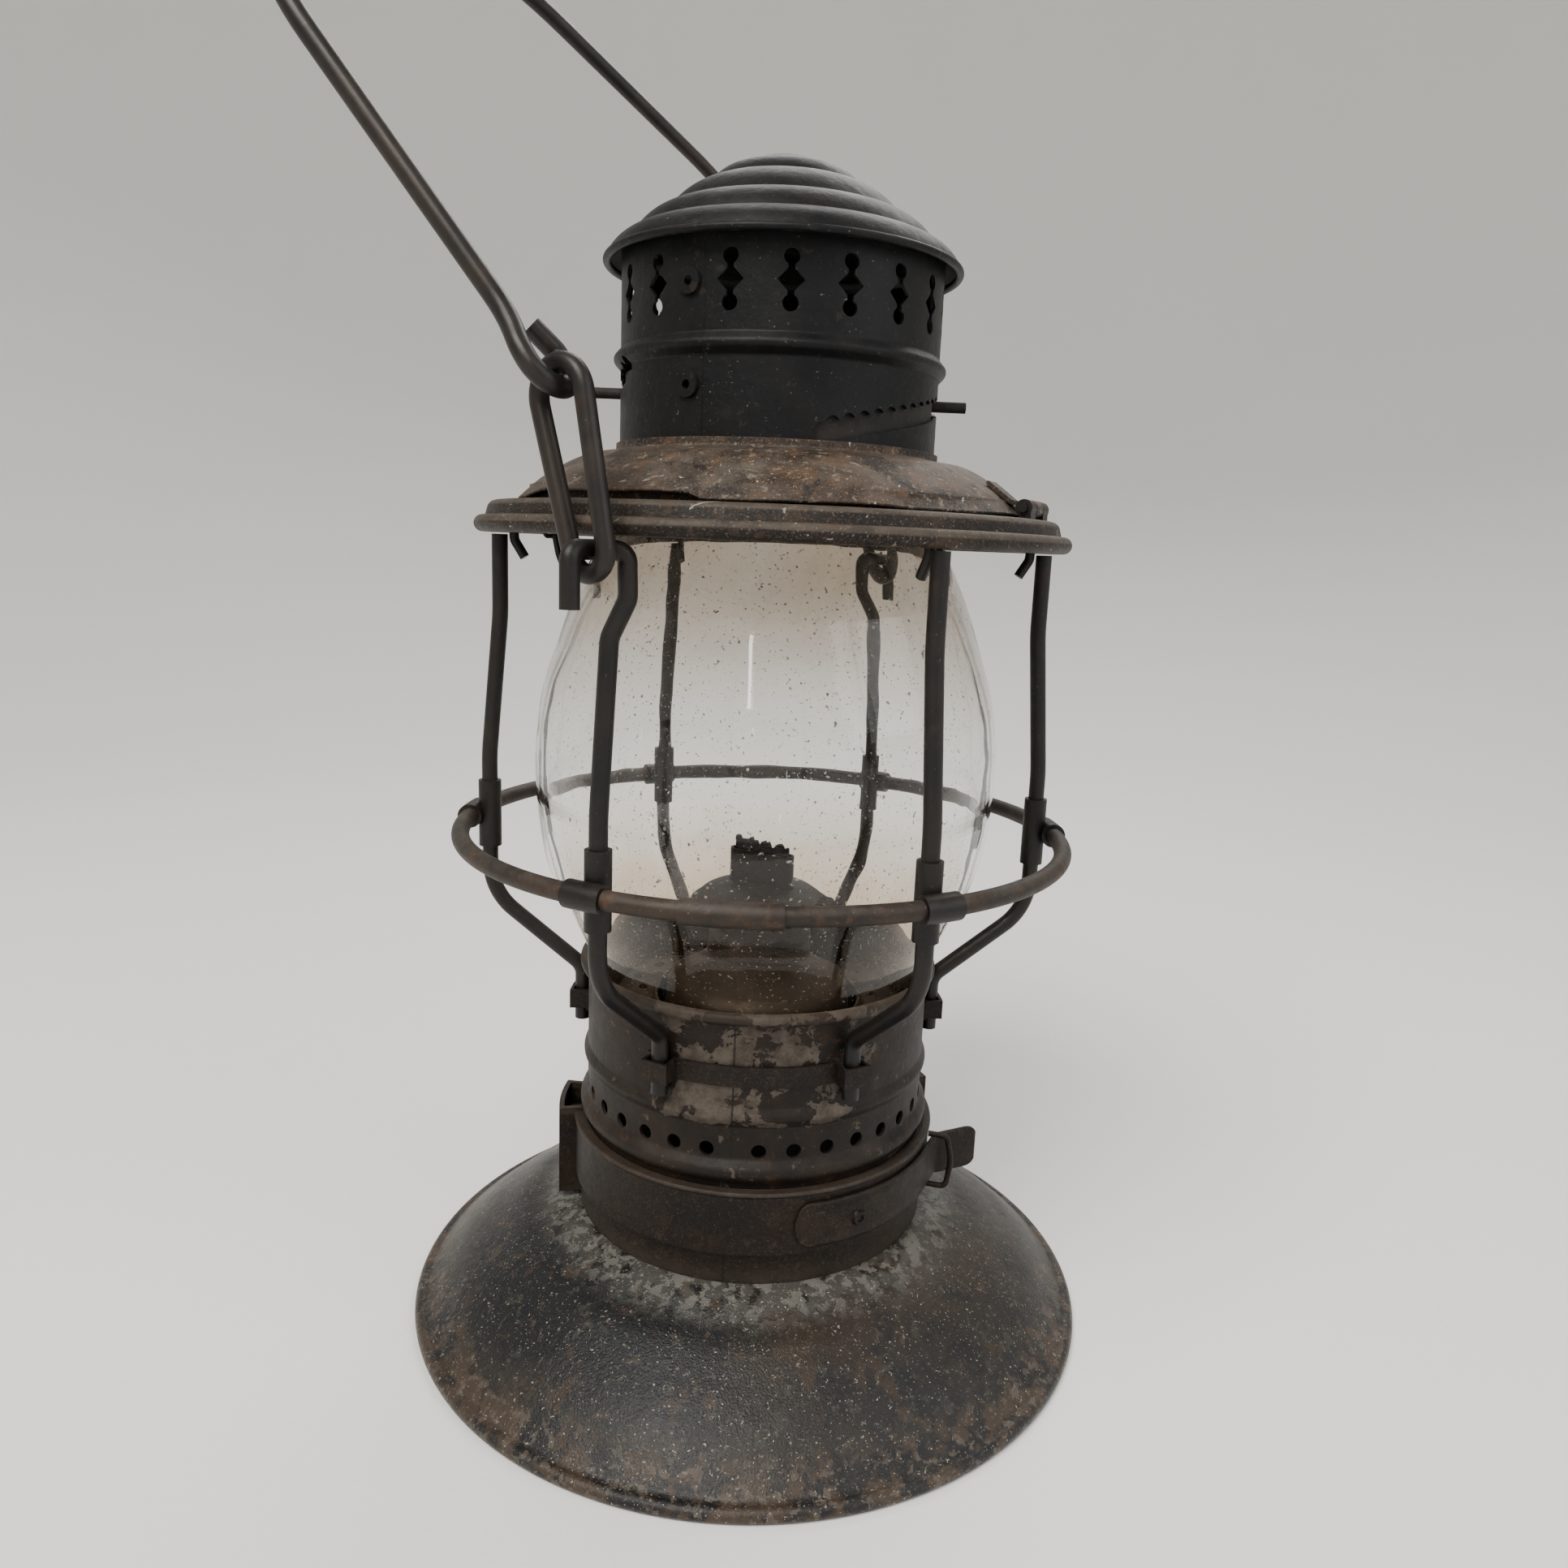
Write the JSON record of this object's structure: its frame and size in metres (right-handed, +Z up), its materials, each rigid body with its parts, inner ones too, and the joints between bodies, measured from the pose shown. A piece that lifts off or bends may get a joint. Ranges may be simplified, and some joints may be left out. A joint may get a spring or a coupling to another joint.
{
  "type": "hand lantern",
  "caption": "Bell-footed oil hand lantern: wire cage, clear glass globe, hinged vented chimney lid, flat-wick burner, leaf latch and a wire bail on links.",
  "frame": {"origin": "centre of the foot's rim on the ground", "axes": "+Z up along the lantern's axis, -Y is the front seen in use, +X to the right of the front"},
  "size_m": [0.1926, 0.2005, 0.3505],
  "materials": {
    "bell_steel": "worn dark paint with rust and dust",
    "band_steel": "dark brown oxide",
    "painted_drum": "dark brown with pale flaking paint",
    "sooty_steel": "sooted steel",
    "fount_steel": "dull tinned sheet",
    "burner_brass": "smoked brass",
    "wick_cotton": "charred woven cotton",
    "wire_steel": "worn black-brown wire",
    "rim_steel": "dusty rust brown",
    "chimney_black": "near-black satin with dust",
    "globe_glass": "clear with smoke haze"
  },
  "bodies": {
    "base": {"bell_base": "bell_steel", "base_collar": "band_steel", "base_band": "band_steel", "latch_foot": "band_steel", "latch_rivet": "band_steel", "latch_keeper": "band_steel", "oil_fount": "fount_steel", "filler_cap": "fount_steel", "burner_body": "burner_brass", "burner_gallery": "burner_brass", "wick_tube": "burner_brass"},
    "latch": {"latch_leaf": "band_steel"},
    "wick_raiser": {"wick_raiser": "burner_brass"},
    "wick": {"wick": "wick_cotton"},
    "cage": {"air_drum": "painted_drum", "globe_seat": "sooty_steel", "drum_lug_left": "band_steel", "drum_lug_right": "band_steel", "drum_strap_front": "band_steel", "drum_strap_right": "band_steel", "drum_strap_left": "band_steel", "guard_wire_1": "wire_steel", "guard_wire_2": "wire_steel", "guard_wire_3": "wire_steel", "guard_wire_4": "wire_steel", "guard_wire_5": "wire_steel", "guard_wire_6": "wire_steel", "guard_ring": "wire_steel", "ring_sleeve": "wire_steel", "ring_clips": "wire_steel", "rim_hooks": "wire_steel", "top_ring": "rim_steel", "rim_knuckles": "wire_steel", "hinge_pin": "wire_steel", "catch_staple": "wire_steel", "globe": "globe_glass"},
    "lid_catch": {"lid_catch": "wire_steel"},
    "lid": {"lid_plate": "rim_steel", "lid_hinge_leaf": "rim_steel", "chimney_collar": "chimney_black", "collar_eyelets": "chimney_black", "chimney_cap": "chimney_black"},
    "globe_ring": {"globe_ring": "sooty_steel"},
    "clamp": {"clamp_sleeve": "sooty_steel", "clamp_pins": "sooty_steel"},
    "link_near": {"link_near": "wire_steel"},
    "link_far": {"link_far": "wire_steel"},
    "bail": {"bail": "wire_steel"}
  },
  "joints": [
    {"name": "latch_flex", "type": "hinge", "parent": "base", "child": "latch", "pos_m": [0.02974, -0.03806, 0.043], "axis": [0, 0, -1], "range_deg": [0, 6], "stiffness_Nm_per_rad": 0.4},
    {"name": "wick_knob", "type": "hinge", "parent": "base", "child": "wick_raiser", "pos_m": [-0.00205, -0.00355, 0.109], "axis": [0.866, -0.5, 0], "range_deg": [-60, 110]},
    {"name": "wick_feed", "type": "slide", "parent": "base", "child": "wick", "axis": [0, 0, 1], "range_m": [-0.003, 0.0055]},
    {"name": "cage_lift", "type": "slide", "parent": "base", "child": "cage", "axis": [0, 0, 1], "range_m": [0, 0.09]},
    {"name": "catch_swing", "type": "hinge", "parent": "cage", "child": "lid_catch", "pos_m": [-0.05779, 0.02945, 0.20135], "axis": [-0.454, -0.891, 0], "range_deg": [-9, 0], "stiffness_Nm_per_rad": 0.02},
    {"name": "lid_hinge", "type": "hinge", "parent": "cage", "child": "lid", "pos_m": [0.0572, -0.02915, 0.2096], "axis": [0.454, 0.891, 0], "range_deg": [0, 105]},
    {"name": "ring_rise", "type": "slide", "parent": "lid", "child": "globe_ring", "axis": [0, 0, 1], "range_m": [0, 0.0035]},
    {"name": "clamp_turn", "type": "hinge", "parent": "globe_ring", "child": "clamp", "pos_m": [0, 0, 0.2273], "axis": [0, 0, 1], "range_deg": [0, 24]},
    {"name": "near_link_swing", "type": "hinge", "parent": "cage", "child": "link_near", "pos_m": [-0.03549, -0.06675, 0.1973], "axis": [-0.4695, -0.8829, 0], "range_deg": [-25, 70]},
    {"name": "far_link_swing", "type": "hinge", "parent": "cage", "child": "link_far", "pos_m": [0.03549, 0.06675, 0.1973], "axis": [-0.4695, -0.8829, 0], "range_deg": [-25, 70]},
    {"name": "bail_swing", "type": "hinge", "parent": "link_near", "child": "bail", "pos_m": [-0.04161, -0.0635, 0.22731], "axis": [-0.4695, -0.8829, 0], "range_deg": [-35, 50]}
  ],
  "couplings": [
    {"joint": "wick_knob", "follows": "wick_feed", "rad_per_m": 344.83},
    {"joint": "ring_rise", "follows": "clamp_turn", "m_per_rad": 0.007792},
    {"joint": "far_link_swing", "follows": "near_link_swing", "ratio": 1}
  ]
}
